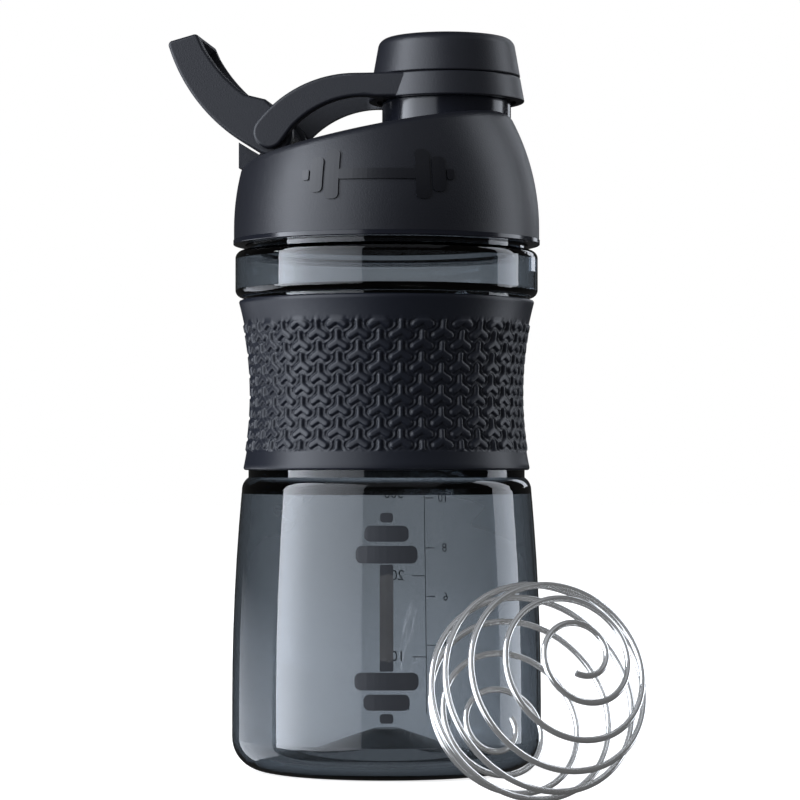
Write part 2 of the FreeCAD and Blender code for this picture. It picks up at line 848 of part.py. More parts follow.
def cap_shell():
    """Tapered twist cap; its skirt hangs in the collar, held by a groove round the bead."""
    body = new_body("cap_shell", dim.spout_offset)
    groove_low_edge = collar_low + dim.collar_bead_rise - dim.seat_gap
    groove_high_edge = groove_low_edge + dim.collar_bead_width + dim.seat_gap * 2.0
    skirt = dim.cap_skirt_radius
    groove = skirt - dim.cap_groove
    shoulder = dim.cap_radius - dim.cap_draft
    bore = dim.liner_radius + dim.fit_gap
    crown = dim.cap_crown
    flat = shoulder - dim.cap_top_inset + dim.cap_corner * 0.5
    revolve(body, "cap_wall", [
        (bore, cap_skirt_low),
        (skirt, cap_skirt_low),
        (skirt, groove_low_edge - crown / 2.0),
        (groove, groove_low_edge),
        (groove, groove_high_edge),
        (skirt, groove_high_edge + crown / 2.0),
        (skirt, cap_low),
        (dim.cap_radius - crown, cap_low, crown),
        (dim.cap_radius, cap_low + crown),
        (shoulder, cap_high - crown - dim.cap_corner, dim.cap_corner * 1.1),
        (flat, cap_high - crown, (flat * flat + crown * crown) / (crown * 2.0)),
        (0, cap_high),
        (0, liner_high + dim.fit_gap),
        (bore, liner_high + dim.fit_gap),
    ])
    return body


def cap_liner():
    """Inner cup of the cap, with the two lugs that lock under the spout's."""
    body = new_body("cap_liner", dim.spout_offset)
    outer = dim.liner_radius
    inner = outer - dim.liner_wall
    revolve(body, "liner_wall_turned", [
        (inner, cap_skirt_low + dim.liner_lug_gap),
        (outer, cap_skirt_low + dim.liner_lug_gap),
        (outer, liner_high),
        (0, liner_high),
        (0, liner_floor_low),
        (inner, liner_floor_low),
    ])
    lug_high = lock_lug_low - dim.liner_lug_gap
    sketch = new_sketch(body, "liner_lug_outline", "XY_Plane", lug_high - dim.liner_lug_thickness)
    draw_sector(sketch, dim.liner_lug_radius, inner + dim.liner_wall / 2.0, as_size(90.0),
                dim.liner_lug_half_angle)
    lug = extrude(body, "liner_lug", sketch, dim.liner_lug_thickness, both_ways=False)
    opposite_pair(body, "liner_lugs", lug, sketch)
    return body


def cap_seal():
    """Soft disc that closes the spout's lip."""
    body = new_body("cap_seal", dim.spout_offset)
    edge = dim.seal_gap
    revolve(body, "seal_disc", [
        (0, seal_low),
        (dim.seal_radius - edge, seal_low, edge),
        (dim.seal_radius, seal_low + edge),
        (dim.seal_radius, seal_low + dim.seal_thickness),
        (0, seal_low + dim.seal_thickness),
    ])
    return body


# ---------------------------------------------------------------- whisk ball

def arc_frame(start, heading, end):
    """Centre, axis and angle of the arc that leaves start along heading and reaches end."""
    chord = end - start
    inward = (chord - heading * chord.dot(heading)).normalize()
    rise = chord.dot(inward)
    radius = chord.Length * chord.Length / (2.0 * rise)
    angle = 2.0 * math.atan2(rise, chord.dot(heading))
    return start + inward * radius, heading.cross(inward), angle


def arc_middle(start, heading, end, end_heading):
    """Where two arcs meet that leave start and reach end along the given headings."""
    chord = end - start
    along = chord.dot(heading + end_heading)
    turn = 2.0 * (1.0 - heading.dot(end_heading))
    reach = (math.sqrt(along * along + turn * chord.dot(chord)) - along) / turn
    return (start + end + (heading - end_heading) * reach) * 0.5


def wire_tube(points, headings, radius):
    """Closed round tube along pairs of arcs that touch smoothly at every point."""
    ring = Part.Circle(points[0], headings[0], radius).toShape()
    faces = [Part.Face(Part.Wire([ring]))]
    for number in range(len(points) - 1):
        start, end = points[number:number + 2]
        heading, end_heading = headings[number:number + 2]
        middle = arc_middle(start, heading, end, end_heading)
        for goal in (middle, end):
            centre, axis, angle = arc_frame(start, heading, goal)
            faces.append(ring.revolve(centre, axis, math.degrees(angle)))
            ring = ring.copy()
            ring.rotate(centre, axis, math.degrees(angle))
            heading = FreeCAD.Rotation(axis, math.degrees(angle)).multVec(heading)
            start = goal
    faces.append(Part.Face(Part.Wire([ring])))
    shell = Part.makeShell(faces)
    shell.sewShape()
    solid = Part.makeSolid(shell)
    if solid.Volume < 0.0:
        solid.reverse()
    return solid


def whisk_ball():
    """One steel wire wound pole to pole over a sphere, resting on the floor."""
    radius = dim.ball_radius.value - dim.wire_radius.value
    turns = dim.ball_turns.value
    ease = dim.ball_ease.value
    end_angle = dim.ball_end_angle.value
    pole = FreeCAD.Vector(*BALL_AXIS).normalize()
    across = FreeCAD.Vector(1, 0, 0)
    across = (across - pole * across.dot(pole)).normalize()
    up = pole.cross(across)

    def wound(turn):
        """Turns that count towards the colatitude: the first and last lie nearly flat."""
        if turn < ease:
            return turn * turn / (2.0 * ease)
        if turn > turns - ease:
            return turns - ease - (turns - turn) ** 2 / (2.0 * ease)
        return turn - ease / 2.0

    def at(turn):
        share = wound(turn) / (turns - ease)
        tilt = math.radians(end_angle + (180.0 - 2.0 * end_angle) * share)
        spin = math.radians(dim.ball_tip_angle.value + 360.0 * turn)
        flat = across * math.cos(spin) + up * math.sin(spin)
        return (pole * math.cos(tilt) + flat * math.sin(tilt)) * radius

    def heading_at(turn):
        small = 0.0001
        return (at(turn + small) - at(turn - small)).normalize()

    count = int(round(turns * ARCS_PER_TURN))
    steps = [turns * number / count for number in range(count + 1)]
    points = [at(turn) for turn in steps]
    headings = [heading_at(turn) for turn in steps]
    tube = wire_tube(points, headings, dim.wire_radius.value)
    bearing = math.radians(dim.ball_bearing.value)
    reach = dim.body_radius.value + dim.ball_gap.value + dim.ball_radius.value
    feature = doc.addObject("Part::Feature", "whisk_ball")
    feature.Shape = tube
    feature.Placement = FreeCAD.Placement(
        FreeCAD.Vector(reach * math.cos(bearing), reach * math.sin(bearing),
                       -tube.optimalBoundingBox(False).ZMin),
        FreeCAD.Rotation())
    return feature


# ---------------------------------------------------------------- build, check and write

PARTS = (bottle_body, grip_sleeve, lid_core, lid_cover, lid_gasket, hinge_pin, carry_loop,
         tether_frame, cap_shell, cap_liner, cap_seal, whisk_ball)


def check(pieces):
    """Stop before anything is written if an object failed or a piece isn't a sound solid."""
    for thing in doc.Objects:
        if "Invalid" in thing.State or "Error" in thing.State:
            raise RuntimeError(f"{thing.Name} did not compute: {thing.State}")
    for piece in pieces:
        if piece.Shape.isNull() or not piece.Shape.isValid() or not piece.Shape.Solids:
            raise RuntimeError(f"{piece.Label} is not a sound solid")


def main():
    pieces = [make() for make in PARTS]
    doc.recompute()
    check(pieces)
    os.makedirs("parts", exist_ok=True)
    for piece in pieces:
        piece.Shape.exportStep(f"parts/{piece.Label}.step")
        box = piece.Shape.optimalBoundingBox(False)
        print(f"{piece.Label:14s} solids {len(piece.Shape.Solids)}"
              f" volume {piece.Shape.Volume / 1000.0:8.3f} cm3"
              f" z {box.ZMin:7.2f} to {box.ZMax:7.2f}")


main()
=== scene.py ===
# %% [markdown]
# A shaker bottle is a small assembly of moulded parts: a clear bottle with a soft sleeve, a
# matt screw lid with a spout and a tethered cap, a carry loop, and a steel whisk ball beside it.
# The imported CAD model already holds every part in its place. This lesson loads it as a fixed
# frame, and then adds what CAD leaves out: finishes, the sleeve's raised pattern and the print.

# %% Load the frame
import math

import bmesh
import bpy
import numpy as np
from mathutils import Matrix, Vector
from mathutils.bvhtree import BVHTree


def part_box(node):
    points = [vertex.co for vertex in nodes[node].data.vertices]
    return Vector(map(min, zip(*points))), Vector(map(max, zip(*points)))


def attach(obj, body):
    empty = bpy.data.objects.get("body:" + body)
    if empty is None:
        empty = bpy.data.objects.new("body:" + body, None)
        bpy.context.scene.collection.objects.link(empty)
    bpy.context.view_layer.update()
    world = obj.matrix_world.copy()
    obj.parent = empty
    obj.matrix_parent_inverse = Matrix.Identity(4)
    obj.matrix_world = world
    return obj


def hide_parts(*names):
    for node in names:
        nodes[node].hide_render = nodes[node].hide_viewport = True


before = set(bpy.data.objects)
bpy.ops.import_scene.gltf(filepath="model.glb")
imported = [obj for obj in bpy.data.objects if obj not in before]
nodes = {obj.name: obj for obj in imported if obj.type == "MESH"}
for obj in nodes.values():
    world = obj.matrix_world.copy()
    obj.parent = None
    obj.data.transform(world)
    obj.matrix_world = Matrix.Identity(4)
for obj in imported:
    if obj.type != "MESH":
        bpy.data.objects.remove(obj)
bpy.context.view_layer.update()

MM = 0.001
scene = bpy.context.scene
print("nodes:", sorted(nodes))

# %% [markdown]
# The new pieces start from the frame's own boxes, so that they follow the CAD model. Two measures
# are used again and again: the radius of the bottle, on which all print is wrapped, and the
# sleeve's span from its lower rim to its upper one. Heights are counted from the floor.

# %% Measure the frame
body_low, body_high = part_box("bottle_body")
sleeve_low, sleeve_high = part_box("grip_sleeve")
body_radius = (body_high.x - body_low.x) / 2
print("body radius", round(body_radius / MM, 2), "mm")
print("sleeve from", round(sleeve_low.z / MM, 2), "to", round(sleeve_high.z / MM, 2), "mm")

# %% [markdown]
# The camera comes first, because everything is judged through it. A long lens from a little
# under a metre, level with the middle of the bottle, keeps the sides nearly parallel as a
# product picture does. It stands slightly towards the spout's side.

# %% Camera
CAMERA_AZIMUTH = math.radians(7.0)
CAMERA_REACH = 820 * MM
CAMERA_HEIGHT = 77.7 * MM
AIM_RIGHT = 3.5 * MM
AIM_HEIGHT = 96.0 * MM
LENS = 141.4
SENSOR = 36.0
camera_right = Vector((math.cos(CAMERA_AZIMUTH), math.sin(CAMERA_AZIMUTH), 0))
camera_back = Vector((math.sin(CAMERA_AZIMUTH), -math.cos(CAMERA_AZIMUTH), 0))
camera = bpy.data.objects.new("camera", bpy.data.cameras.new("camera"))
camera.data.lens = LENS
camera.data.sensor_width = SENSOR
camera.location = camera_back * CAMERA_REACH + Vector((0, 0, CAMERA_HEIGHT))
aim = camera_right * AIM_RIGHT + Vector((0, 0, AIM_HEIGHT))
camera.rotation_euler = (aim - camera.location).to_track_quat("-Z", "Y").to_euler()
scene.collection.objects.link(camera)
scene.camera = camera
scene.view_settings.view_transform = "Standard"
print("camera", round(CAMERA_REACH, 2), "m away with a", LENS, "mm lens")

# %% [markdown]
# A studio for dark plastic is a white room whose reflections are kept under control. The white
# surround shows behind the object and through the clear wall, but it is dimmed where a glossy
# surface would mirror it or a matt one would collect it, and soft boxes draw the highlights.
# The renderer counts a ray that passes through clear plastic as a glossy one too, so the choice
# for such rays comes last and puts the full white back.

# %% White surround
SURROUND_SEEN = 1.0
SURROUND_MIRRORED = 0.03
SURROUND_LIGHT = 0.36
world = bpy.data.worlds.new("studio")
scene.world = world
world.use_nodes = True
tree = world.node_tree
background = tree.nodes["Background"]
background.inputs["Color"].default_value = (1.0, 1.0, 1.0, 1.0)
rays = tree.nodes.new("ShaderNodeLightPath")
matt_or_seen = tree.nodes.new("ShaderNodeMix")
matt_or_seen.inputs[2].default_value = SURROUND_SEEN
matt_or_seen.inputs[3].default_value = SURROUND_LIGHT
mirrored = tree.nodes.new("ShaderNodeMix")
mirrored.inputs[3].default_value = SURROUND_MIRRORED
tree.links.new(rays.outputs["Is Diffuse Ray"], matt_or_seen.inputs["Factor"])
tree.links.new(matt_or_seen.outputs[0], mirrored.inputs[2])
tree.links.new(rays.outputs["Is Glossy Ray"], mirrored.inputs["Factor"])
through = tree.nodes.new("ShaderNodeMix")
through.inputs[3].default_value = SURROUND_SEEN
tree.links.new(mirrored.outputs[0], through.inputs[2])
tree.links.new(rays.outputs["Is Transmission Ray"], through.inputs["Factor"])
tree.links.new(through.outputs[0], background.inputs["Strength"])
print("surround:", SURROUND_SEEN, "seen,", SURROUND_MIRRORED, "mirrored")

# %% [markdown]
# The bottle stands on pale paper, made as one large flat disc. The paper glows a little, so that
# it stays as pale as the surround out to the horizon, and its matt half takes the soft shadow
# under the bottle. It is left out of mirror and matt bounces, as a black card would do.

# %% Pale floor
FLOOR_REACH = 6.0
FLOOR_DROP = 0.05 * MM
FLOOR_GLOW = 0.78
PAPER_GREY = 0.75
PAPER_ROUGHNESS = 0.9
bm = bmesh.new()
bmesh.ops.create_circle(bm, cap_ends=True, segments=96, radius=FLOOR_REACH)
mesh = bpy.data.meshes.new("floor")
bm.to_mesh(mesh)
bm.free()
mesh.transform(Matrix.Translation((0, 0, -FLOOR_DROP)))
floor = bpy.data.objects.new("floor", mesh)
scene.collection.objects.link(floor)
floor.visible_glossy = False
floor.visible_diffuse = False
paper = bpy.data.materials.new("floor_paper")
paper.use_nodes = True
paper_shader = paper.node_tree.nodes["Principled BSDF"]
paper_shader.inputs["Base Color"].default_value = (PAPER_GREY, PAPER_GREY, PAPER_GREY, 1)
paper_shader.inputs["Roughness"].default_value = PAPER_ROUGHNESS
paper_shader.inputs["Specular IOR Level"].default_value = 0.0
paper_shader.inputs["Emission Color"].default_value = (1, 1, 1, 1)
paper_shader.inputs["Emission Strength"].default_value = FLOOR_GLOW
mesh.materials.append(paper)
print("floor radius", FLOOR_REACH, "m")

# %% [markdown]
# Soft boxes are area lights. The left box is wide and fades towards the camera: its far edge
# gives the crisp bright line on the clear wall, and its fade gives the long soft shading of the
# lid. The right box is narrow and stands a little behind, so it lights the rim. A small box behind
# draws the lid's far edge, one above lifts the top faces, and a low one brightens the lower left
# of the clear wall.

# %% Soft boxes
DAYLIGHT = (0.86, 0.91, 1.0)
HIGHEST_AIM = 0.5
LEFT_FADE = ((0.0, 1.0), (0.20, 0.80), (0.34, 0.54), (0.45, 0.38), (0.68, 0.25), (1.0, 0.13))
RIGHT_FADE = ((0.0, 0.55), (1.0, 1.0))
LOW_FADE = ((0.0, 1.0), (0.70, 1.0), (1.0, 0.0))


def fade_light(light, fade, way):
    """Shade an area light from edge to edge by (place, level) pairs, across it on X or up on Y."""
    light.use_nodes = True
    light_nodes, links = light.node_tree.nodes, light.node_tree.links
    sheet = light_nodes.new("ShaderNodeNewGeometry")
    split = light_nodes.new("ShaderNodeSeparateXYZ")
    shades = light_nodes.new("ShaderNodeValToRGB")
    for extra in fade[2:]:
        shades.color_ramp.elements.new(0.5)
    for stop, (place, level) in zip(shades.color_ramp.elements, fade):
        stop.position = place
        stop.color = (level, level, level, 1)
    links.new(sheet.outputs["Parametric"], split.inputs["Vector"])
    links.new(split.outputs[way], shades.inputs["Fac"])
    links.new(shades.outputs["Color"], light_nodes["Emission"].inputs["Color"])


def soft_box(name, azimuth, height, reach, size, power, fade=(), way="X"):
    """An area light at an azimuth from the camera in degrees, in metres and watts, that faces the
    bottle."""
    light = bpy.data.lights.new(name, "AREA")
    light.shape = "RECTANGLE"
    light.size, light.size_y = size
    light.energy = power
    light.color = DAYLIGHT
    lamp = bpy.data.objects.new(name, light)
    angle = CAMERA_AZIMUTH + math.radians(azimuth)
    lamp.location = (math.sin(angle) * reach, -math.cos(angle) * reach, height)
    middle = Vector((0, 0, min(height, HIGHEST_AIM)))
    lamp.rotation_euler = (middle - lamp.location).to_track_quat("-Z", "Y").to_euler()
    scene.collection.objects.link(lamp)
    if fade:
        fade_light(light, fade, way)
    print(name, "at", azimuth, "degrees,", power, "W")


soft_box("soft_box_left", -53, 0.44, 1.0, (1.40, 1.4), 61.0, LEFT_FADE)
soft_box("soft_box_right", 104, 0.50, 1.0, (0.46, 1.3), 7.6, RIGHT_FADE)
soft_box("rim_box", 148, 0.75, 1.2, (0.25, 1.1), 1.8)
soft_box("soft_box_top", 0, 1.3, 0.9, (2.2, 1.5), 2.2)
soft_box("low_box_left", -116, -0.26, 1.0, (0.90, 0.64), 4.2, LOW_FADE, "Y")

# %% [markdown]
# Finishes are node graphs that read Object coordinates, so they sit still on each part. One
# helper makes the shader and keeps constants on its own sockets; a second adds the fine grain
# of a moulding as bump, with a slight change of roughness from place to place.

# %% Material helpers
WANDER_SCALE = 60.0
NOISE_DETAIL = 3.0


def new_finish(name, colour, roughness, **sockets):
    """A Principled material. Further sockets are named with _ for each space."""
    material = bpy.data.materials.new(name)
    material.use_nodes = True
    shader = shader_of(material)
    shader.inputs["Base Color"].default_value = (*colour, 1)
    shader.inputs["Roughness"].default_value = roughness
    for socket, value in sockets.items():
        shader.inputs[socket.replace("_", " ")].default_value = value
    return material


def shader_of(material):
    return material.node_tree.nodes["Principled BSDF"]


def noise(material, scale):
    """A soft 0 to 1 pattern that stays put on the piece."""
    place = material.node_tree.nodes.new("ShaderNodeTexCoord")
    texture = material.node_tree.nodes.new("ShaderNodeTexNoise")
    texture.inputs["Scale"].default_value = scale
    texture.inputs["Detail"].default_value = NOISE_DETAIL
    material.node_tree.links.new(place.outputs["Object"], texture.inputs["Vector"])
    return texture.outputs["Fac"]


def stretch(material, value, low, high):
    """Stretch a 0 to 1 pattern over the range low to high."""
    spread = material.node_tree.nodes.new("ShaderNodeMapRange")
    spread.inputs["To Min"].default_value = low
    spread.inputs["To Max"].default_value = high
    material.node_tree.links.new(value, spread.inputs["Value"])
    return spread.outputs["Result"]


def add_grain(material, scale, height, spread):
    """Moulding grain: bump in metres of height, and roughness that wanders by spread."""
    shader, links = shader_of(material), material.node_tree.links
    roughness = shader.inputs["Roughness"].default_value
    bump = material.node_tree.nodes.new("ShaderNodeBump")
    bump.inputs["Distance"].default_value = height
    links.new(noise(material, scale), bump.inputs["Height"])
    links.new(bump.outputs["Normal"], shader.inputs["Normal"])
    pattern = noise(material, WANDER_SCALE)
    wander = stretch(material, pattern, roughness - spread, roughness + spread)
    links.new(wander, shader.inputs["Roughness"])


def tint(material, scale, dark, light):
    """Let the base colour wander softly between two close shades."""
    links = material.node_tree.links
    mix = material.node_tree.nodes.new("ShaderNodeMix")
    mix.data_type = "RGBA"
    links.new(noise(material, scale), mix.inputs["Factor"])
    mix.inputs[6].default_value = (*dark, 1)
    mix.inputs[7].default_value = (*light, 1)
    links.new(mix.outputs[2], shader_of(material).inputs["Base Color"])


def dress(material, *names):
    """Give one or more CAD nodes their finish."""
    for name in names:
        mesh = nodes[name].data
        mesh.materials.clear()
        mesh.materials.append(material)
    print(material.name, "on", ", ".join(names))


# %% [markdown]
# The bottle is smoke-tinted copolyester. The tint is in the plastic itself, so light fades with
# every millimetre it travels: two thin walls stay see-through, while the edges, where a line of
# sight runs along the wall, go nearly black. The surface itself is plain clear glassy plastic.

# %% Clear smoke finish
WALL = 2.4 * MM
LEFT_AFTER_TWO_WALLS = (0.118, 0.137, 0.158)
TINT_DENSITY = 520.0
smoke = new_finish("clear_smoke", (1, 1, 1), 0.0, Transmission_Weight=1.0, IOR=1.5)
fading = [-math.log(left) / (2 * WALL) for left in LEFT_AFTER_TWO_WALLS]
absorb = smoke.node_tree.nodes.new("ShaderNodeVolumeAbsorption")
absorb.inputs["Density"].default_value = TINT_DENSITY
absorb.inputs["Color"].default_value = (*(1 - fade / TINT_DENSITY for fade in fading), 1)
output = smoke.node_tree.nodes["Material Output"]
smoke.node_tree.links.new(absorb.outputs["Volume"], output.inputs["Volume"])
dress(smoke, "bottle_body")
print("fading per metre", [round(fade) for fade in fading])

# %% [markdown]
# The lid's skin, the cap, the tether and the loop share one matt black plastic with a fine
# etched texture. The lid's core and spout are the same colour but smooth from the tool.

# %% Black plastics
BLACK = (0.0078, 0.0088, 0.0135)
BLACK_LIGHT = (0.0105, 0.0118, 0.0172)
BLACK_DRIFT = 35.0
MICRON = 0.001 * MM
matt = new_finish("matt_black", BLACK, 0.42)
add_grain(matt, 2600.0, 40 * MICRON, 0.03)
tint(matt, BLACK_DRIFT, BLACK, BLACK_LIGHT)
gloss = new_finish("gloss_black", BLACK, 0.16)
add_grain(gloss, 500.0, 10 * MICRON, 0.03)
tint(gloss, BLACK_DRIFT, BLACK, BLACK_LIGHT)
dress(matt, "lid_cover", "carry_loop", "tether_frame", "cap_shell")
dress(gloss, "lid_core", "cap_liner")

# %% [markdown]
# Seals are soft silicone: rough, dark and slightly uneven. The hinge pin is ground steel. The
# whisk ball is polished spring wire. A full metal would mirror the dim surround and go black, so
# the wire is a blend of metal and pale grey, which keeps a bright core between darker edges.

# %% Seals and steels
silicone = new_finish("silicone", (0.05, 0.05, 0.055), 0.6)
add_grain(silicone, 900.0, 30 * MICRON, 0.05)
dress(silicone, "lid_gasket", "cap_seal")
ground = new_finish("ground_steel", (0.56, 0.55, 0.53), 0.3, Metallic=1.0)
add_grain(ground, 1500.0, 20 * MICRON, 0.08)
dress(ground, "hinge_pin")
wire = new_finish("polished_wire", (0.92, 0.92, 0.91), 0.12, Metallic=0.80)
add_grain(wire, 1800.0, 10 * MICRON, 0.03)
dress(wire, "whisk_ball")

# %% [markdown]
# The sleeve is the one soft part. Its outline is a single hollow arc from rim to rim. The arc's
# two ends are read from the CAD sleeve, so the new surface lands on the same rims.

# %% Sleeve outline
SLEEVE_CURVE = 92 * MM
SLEEVE_EDGE = 0.6 * MM
RIM_BAND = 1.2 * MM
rims = np.array([v.co for v in nodes["grip_sleeve"].data.vertices], float)
rim_radius = np.hypot(rims[:, 0], rims[:, 1])


def widest(low, high):
    """Largest radius of the CAD sleeve between two heights."""
    return float(rim_radius[(rims[:, 2] >= low) & (rims[:, 2] <= high)].max())


low_radius = widest(sleeve_low.z, sleeve_low.z + RIM_BAND)
high_radius = widest(sleeve_high.z - RIM_BAND, sleeve_high.z)
low_point = Vector((low_radius, sleeve_low.z + SLEEVE_EDGE))
high_point = Vector((high_radius, sleeve_high.z - SLEEVE_EDGE))
chord = high_point - low_point
stand_off = math.sqrt(SLEEVE_CURVE ** 2 - chord.length ** 2 / 4)
outwards = Vector((chord.y, -chord.x)).normalized()
curve_centre = (low_point + high_point) / 2 + outwards * stand_off


def sleeve_radius(height):
    """Radius of the waisted surface at a height."""
    return curve_centre.x - math.sqrt(SLEEVE_CURVE ** 2 - (height - curve_centre.y) ** 2)


print("waist radius", round(sleeve_radius((low_point.y + high_point.y) / 2) / MM, 2))

# %% [markdown]
# The middle of the sleeve carries raised three-armed stars with thin ribs between them. Hundreds
# of modelled stars would be heavy and hard to join, so the relief is a formula instead: a point
# rises by how near it is to the closest star, or to the line midway between two stars.

# %% Star pattern
STAR_COLUMNS = 42
STAR_PITCH = 5.5 * MM
PATTERN_LOW = sleeve_low.z + 4.7 * MM
PATTERN_HIGH = sleeve_high.z - 6.2 * MM
STAR_RISE = 0.85 * MM
STAR_SLOPE = 0.55 * MM
RIB_RISE = 0.60 * MM
STEM_LENGTH = 2.5 * MM
LEG_LENGTH = 2.3 * MM
STEM_HALF = 0.30 * MM
LEG_HALF = 0.62 * MM
LEG_DROP = 32.0
RIB_HALF = 0.42 * MM
FAR_AWAY = 1e9


def arm_distance(x, y, angle, length, half):
    """Distance from a thick arm that starts at the star's centre."""
    across, up = math.cos(angle), math.sin(angle)
    along = np.clip(x * across + y * up, 0.0, length)
    return np.hypot(x - along * across, y - along * up) - half


def star_distance(x, y):
    """Distance from a star: a thin stem up, and two thick legs that hang to the sides."""
    stem = arm_distance(x, y, math.radians(90), STEM_LENGTH, STEM_HALF)
    left = arm_distance(x, y, math.radians(180 + LEG_DROP), LEG_LENGTH, LEG_HALF)
    right = arm_distance(x, y, math.radians(-LEG_DROP), LEG_LENGTH, LEG_HALF)
    return np.minimum(stem, np.minimum(left, right))


def star_pattern(turn, height):
    """Rise of the pattern at each share of a full turn and each height."""
    width = 2 * math.pi * sleeve_radius((PATTERN_LOW + PATTERN_HIGH) / 2) / STAR_COLUMNS
    column = np.floor(turn * STAR_COLUMNS)
    nearest = np.full(turn.shape, FAR_AWAY)
    second = np.full(turn.shape, FAR_AWAY)
    for step in (-1, 0, 1, 2):
        here = column + step
        x = turn * STAR_COLUMNS * width - here * width
        shift = np.where(np.mod(here, 2) == 0, 0.0, STAR_PITCH / 2)
        level = np.round((height - PATTERN_LOW - shift) / STAR_PITCH)
        for row in (-1, 0, 1):
            y = height - PATTERN_LOW - shift - (level + row) * STAR_PITCH
            distance = star_distance(x, y)
            second = np.minimum(second, np.maximum(distance, nearest))
            nearest = np.minimum(nearest, distance)
    star = STAR_RISE * np.clip(1.0 - nearest / STAR_SLOPE, 0.0, 1.0)
    rib = RIB_RISE * np.clip(1.0 - (second - nearest) / (2 * RIB_HALF), 0.0, 1.0)
    return np.maximum(star, rib)


# %% [markdown]
# Spinning the outline round the axis gives an even grid, whose rows are close together only where
# the pattern is. Each point of the grid is then pushed outwards by the relief. The back of the
# sleeve is bonded to the bottle and never seen, so the surface only turns a little way inwards.

# %% Spin the sleeve
RING_STEPS = 756
ROW_STEP = 0.30 * MM
PLAIN_STEP = 1.0 * MM
RECESS = 0.45 * MM
PATTERN_FADE = 0.6 * MM
TURN_IN = 1.7 * MM
CHAMFER = 0.3 * SLEEVE_EDGE
MERGE_REACH = 0.01 * MM


def sleeve_heights():
    """Heights of the outline's points: close together where the pattern is."""
    plain_low = np.arange(low_point.y, PATTERN_LOW, PLAIN_STEP)
    fine = np.arange(PATTERN_LOW, PATTERN_HIGH, ROW_STEP)
    plain_high = np.arange(PATTERN_HIGH, high_point.y, PLAIN_STEP)
    return [*plain_low, *fine, *plain_high, high_point.y]


def sleeve_outline():
    """(radius, height) points from inside the lower rim to inside the upper rim."""
    below = [(low_point.x - TURN_IN, sleeve_low.z),
             (low_point.x - SLEEVE_EDGE, sleeve_low.z),
             (low_point.x - CHAMFER, sleeve_low.z + CHAMFER)]
    above = [(high_point.x - CHAMFER, sleeve_high.z - CHAMFER),
             (high_point.x - SLEEVE_EDGE, sleeve_high.z),
             (high_point.x - TURN_IN, sleeve_high.z)]
    return [*below, *((sleeve_radius(z), z) for z in sleeve_heights()), *above]


def press_pattern(bm):
    """Push every point of the spun sleeve by the relief at its place."""
    places = np.array([v.co for v in bm.verts], float)
    height = places[:, 2]
    turn = np.mod(np.arctan2(places[:, 1], places[:, 0]) / (2 * math.pi), 1.0)
    inside = (height > PATTERN_LOW) & (height < PATTERN_HIGH)
    from_edge = np.minimum(height - PATTERN_LOW, PATTERN_HIGH - height)
    fade = np.clip(from_edge / PATTERN_FADE, 0.0, 1.0)
    relief = np.where(inside, (star_pattern(turn, height) - RECESS) * fade, 0.0)
    for vert, push in zip(bm.verts, relief):
        vert.co += Vector((vert.co.x, vert.co.y, 0)).normalized() * float(push)


bm = bmesh.new()
ring = [bm.verts.new((r, 0, z)) for r, z in sleeve_outline()]
edges = [bm.edges.new(pair) for pair in zip(ring, ring[1:])]
bmesh.ops.spin(bm, geom=ring + edges, cent=(0, 0, 0), axis=(0, 0, 1), angle=2 * math.pi,
               steps=RING_STEPS, use_merge=True)
bmesh.ops.remove_doubles(bm, verts=bm.verts, dist=MERGE_REACH)
bmesh.ops.recalc_face_normals(bm, faces=bm.faces)
press_pattern(bm)
mesh = bpy.data.meshes.new("grip_sleeve_patterned")
bm.to_mesh(mesh)
bm.free()
mesh.shade_smooth()
grip = bpy.data.objects.new("grip_sleeve_patterned", mesh)
scene.collection.objects.link(grip)

# %% [markdown]
# The sleeve's rubber is a shade bluer than the lid and shines less. The new piece takes the place
# of the plain CAD sleeve and moves with the bottle.

# %% Sleeve rubber
rubber = new_finish("grip_rubber", (0.0075, 0.0095, 0.0165), 0.42, Specular_IOR_Level=0.4)
add_grain(rubber, 1200.0, 20 * MICRON, 0.04)
mesh.materials.append(rubber)
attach(grip, "bottle")
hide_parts("grip_sleeve")
print("sleeve faces", len(mesh.polygons))

# %% [markdown]
# Printing and moulded marks start as flat shapes. Each one is drawn on a flat sheet in bmesh, with
# bars for the signs and a text curve turned into a mesh for the numbers.

# %% Flat shapes
CORNER_STEPS = 6


def add_bar(bm, x, y, width, height, corner=0.0):
    """A rectangle with rounded corners, centred at x, y."""
    corner = min(corner, width / 2, height / 2)
    ring = []
    for quarter in range(4):
        side_x = (1, -1, -1, 1)[quarter] * (width / 2 - corner)
        side_y = (1, 1, -1, -1)[quarter] * (height / 2 - corner)
        for step in range(CORNER_STEPS + 1 if corner else 1):
            angle = math.radians(90 * quarter + 90 / CORNER_STEPS * step)
            ring.append(bm.verts.new((x + side_x + corner * math.cos(angle),
                                      y + side_y + corner * math.sin(angle), 0)))
    bm.faces.new(ring)


def add_text(bm, text, x, y, size):
    """Letters laid flat and centred at x, y, turned from outlines into a mesh first."""
    curve = bpy.data.curves.new("letters", "FONT")
    curve.body = text
    curve.size = size
    curve.align_x = "CENTER"
    curve.align_y = "CENTER"
    curve.resolution_u = 4
    holder = bpy.data.objects.new("letters", curve)
    letters = holder.to_mesh()
    letters.transform(Matrix.Translation((x, y, 0)))
    bm.from_mesh(letters)
    holder.to_mesh_clear()
    bpy.data.objects.remove(holder)
    bpy.data.curves.remove(curve)


